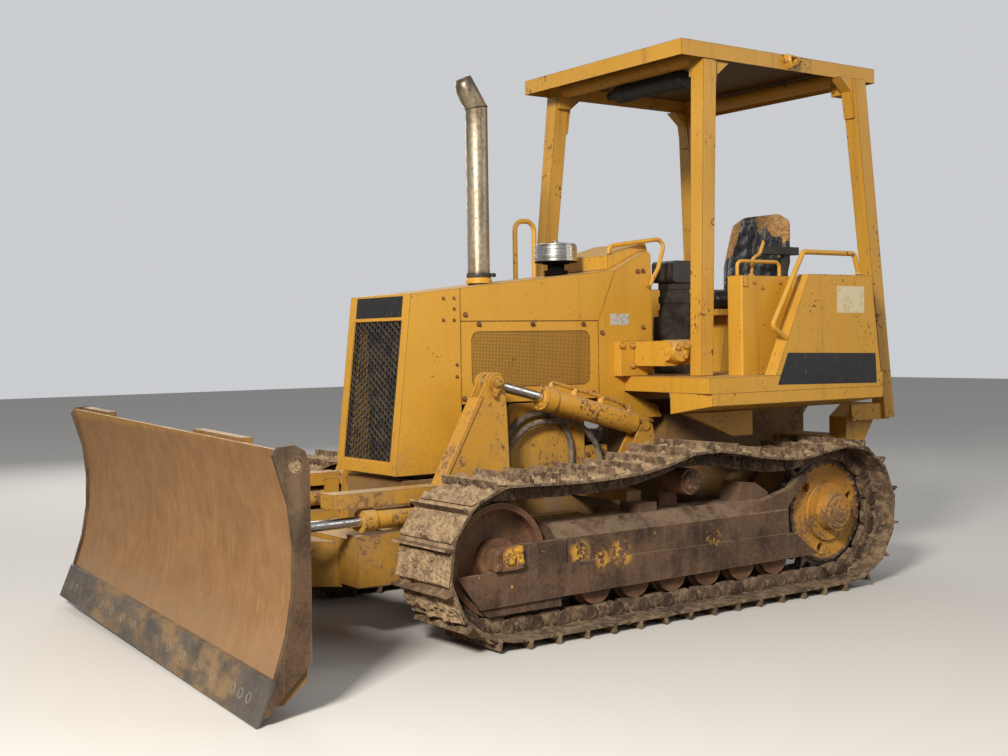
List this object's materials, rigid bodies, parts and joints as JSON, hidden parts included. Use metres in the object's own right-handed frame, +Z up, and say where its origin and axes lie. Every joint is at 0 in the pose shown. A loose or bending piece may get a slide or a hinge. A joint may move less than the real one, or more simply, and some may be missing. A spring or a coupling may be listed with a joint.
{
  "type": "crawler bulldozer",
  "caption": "Small crawler bulldozer with an open operator's canopy and a blade that lifts, angles and tilts on its push frame.",
  "frame": {"origin": "on the ground, in the middle of the machine's length and width, with the blade as parked", "axes": "+X forward, towards the blade; +Y to the machine's left; +Z up"},
  "size_m": [4.0666, 2.6825, 2.755],
  "materials": {
    "black_plastic": "matte",
    "bright_steel": "polished",
    "dark_paint": "black paint",
    "dirty_iron": "rusty and earthy cast iron",
    "seat_vinyl": "torn vinyl",
    "yellow_paint": "worn yellow paint"
  },
  "bodies": {
    "chassis": {"angle_hoses": "black_plastic", "armrests": "black_plastic", "canopy_hoops": "yellow_paint", "canopy_mounts": "yellow_paint", "canopy_roof": "yellow_paint", "controls": "black_plastic", "dash_cowl": "yellow_paint", "drawbar": "dark_paint", "engine_block": "dark_paint", "engine_panels": "yellow_paint", "equalizer_bar": "dirty_iron", "exhaust_stack": "dark_paint", "fender_left": "yellow_paint", "fender_right": "yellow_paint", "final_drives": "yellow_paint", "fuel_tank": "yellow_paint", "grab_bars": "yellow_paint", "grille": "dark_paint", "hood_top": "yellow_paint", "idlers": "dirty_iron", "instrument_box": "yellow_paint", "levers": "black_plastic", "main_frame": "yellow_paint", "nose_shell": "yellow_paint", "platform": "yellow_paint", "platform_skirts": "yellow_paint", "precleaner": "bright_steel", "radiator": "dark_paint", "seat_back": "seat_vinyl", "seat_base": "yellow_paint", "seat_cushion": "seat_vinyl", "side_housings": "yellow_paint", "sprockets": "dirty_iron", "track_frames": "dirty_iron", "track_left": "dirty_iron", "track_right": "dirty_iron", "track_rollers": "dirty_iron"},
    "c_frame": {"c_frame": "yellow_paint", "lift_towers": "yellow_paint", "arm_guards": "yellow_paint", "angle_brackets": "yellow_paint"},
    "yoke": {"yoke": "yellow_paint"},
    "blade": {"moldboard": "yellow_paint", "cutting_edge": "dirty_iron", "end_plates": "yellow_paint", "blade_back": "yellow_paint"},
    "tilt_barrel": {"tilt_barrel": "yellow_paint"},
    "tilt_rod": {"tilt_rod": "bright_steel"},
    "lift_barrel_left": {"lift_barrel_left": "yellow_paint"},
    "lift_rod_left": {"lift_rod_left": "bright_steel"},
    "angle_barrel_left": {"angle_barrel_left": "yellow_paint"},
    "angle_rod_left": {"angle_rod_left": "bright_steel"},
    "lift_barrel_right": {"lift_barrel_right": "yellow_paint"},
    "lift_rod_right": {"lift_rod_right": "bright_steel"},
    "angle_barrel_right": {"angle_barrel_right": "yellow_paint"},
    "angle_rod_right": {"angle_rod_right": "bright_steel"}
  },
  "joints": [
    {"name": "lift", "type": "hinge", "parent": "chassis", "child": "c_frame", "pos_m": [-0.368, 0, 0.4], "axis": [0, -1, 0], "range_deg": [-10, 21]},
    {"name": "angle", "type": "hinge", "parent": "c_frame", "child": "yoke", "pos_m": [1.452, 0, 0.342], "axis": [0, 0, 1], "range_deg": [-21.2, 28.8]},
    {"name": "tilt", "type": "hinge", "parent": "yoke", "child": "blade", "pos_m": [1.5897, -0.00915, 0.35], "axis": [0.9978, -0.0663, 0], "range_deg": [-6, 8]},
    {"name": "lift_barrel_left_swing", "type": "hinge", "parent": "chassis", "child": "lift_barrel_left", "pos_m": [-0.44, 0.44, 0.87], "axis": [0, -1, 0], "range_deg": [-11.41, 23.74]},
    {"name": "lift_rod_left_stroke", "type": "slide", "parent": "lift_barrel_left", "child": "lift_rod_left", "axis": [0.9674, 0, 0.2531], "range_m": [-0.16866, 0.08084]},
    {"name": "lift_barrel_right_swing", "type": "hinge", "parent": "chassis", "child": "lift_barrel_right", "pos_m": [-0.44, -0.44, 0.87], "axis": [0, -1, 0], "range_deg": [-11.41, 23.74]},
    {"name": "lift_rod_right_stroke", "type": "slide", "parent": "lift_barrel_right", "child": "lift_rod_right", "axis": [0.9674, 0, 0.2531], "range_m": [-0.16866, 0.08084]},
    {"name": "angle_barrel_left_swing", "type": "hinge", "parent": "c_frame", "child": "angle_barrel_left", "pos_m": [0.542, 0.438, 0.543], "axis": [0, 0, 1], "range_deg": [-1.35, 1.77]},
    {"name": "angle_rod_left_stroke", "type": "slide", "parent": "angle_barrel_left", "child": "angle_rod_left", "axis": [0.9979, 0.0642, 0], "range_m": [-0.24639, 0.18163]},
    {"name": "angle_barrel_right_swing", "type": "hinge", "parent": "c_frame", "child": "angle_barrel_right", "pos_m": [0.542, -0.438, 0.543], "axis": [0, 0, 1], "range_deg": [-1.35, 1.77]},
    {"name": "angle_rod_right_stroke", "type": "slide", "parent": "angle_barrel_right", "child": "angle_rod_right", "axis": [0.9972, -0.0746, 0], "range_m": [-0.18163, 0.24639]},
    {"name": "tilt_barrel_swing", "type": "hinge", "parent": "yoke", "child": "tilt_barrel", "pos_m": [1.6762, -0.12513, 0.7], "axis": [0.9978, -0.0663, 0], "range_deg": [-7.01, 9.28]},
    {"name": "tilt_rod_stroke", "type": "slide", "parent": "tilt_barrel", "child": "tilt_rod", "axis": [-0.066, -0.9935, -0.0927], "range_m": [-0.03858, 0.05111]}
  ],
  "couplings": [
    {"joint": "lift_barrel_left_swing", "follows": "lift", "ratio": 1.1208},
    {"joint": "lift_rod_left_stroke", "follows": "lift", "m_per_rad": -0.45745},
    {"joint": "lift_barrel_right_swing", "follows": "lift", "ratio": 1.1208},
    {"joint": "lift_rod_right_stroke", "follows": "lift", "m_per_rad": -0.45745},
    {"joint": "angle_barrel_left_swing", "follows": "angle", "ratio": 0.05442},
    {"joint": "angle_rod_left_stroke", "follows": "angle", "m_per_rad": -0.48818},
    {"joint": "angle_barrel_right_swing", "follows": "angle", "ratio": 0.05442},
    {"joint": "angle_rod_right_stroke", "follows": "angle", "m_per_rad": 0.48818},
    {"joint": "tilt_barrel_swing", "follows": "tilt", "ratio": 1.1349},
    {"joint": "tilt_rod_stroke", "follows": "tilt", "m_per_rad": 0.35885}
  ]
}
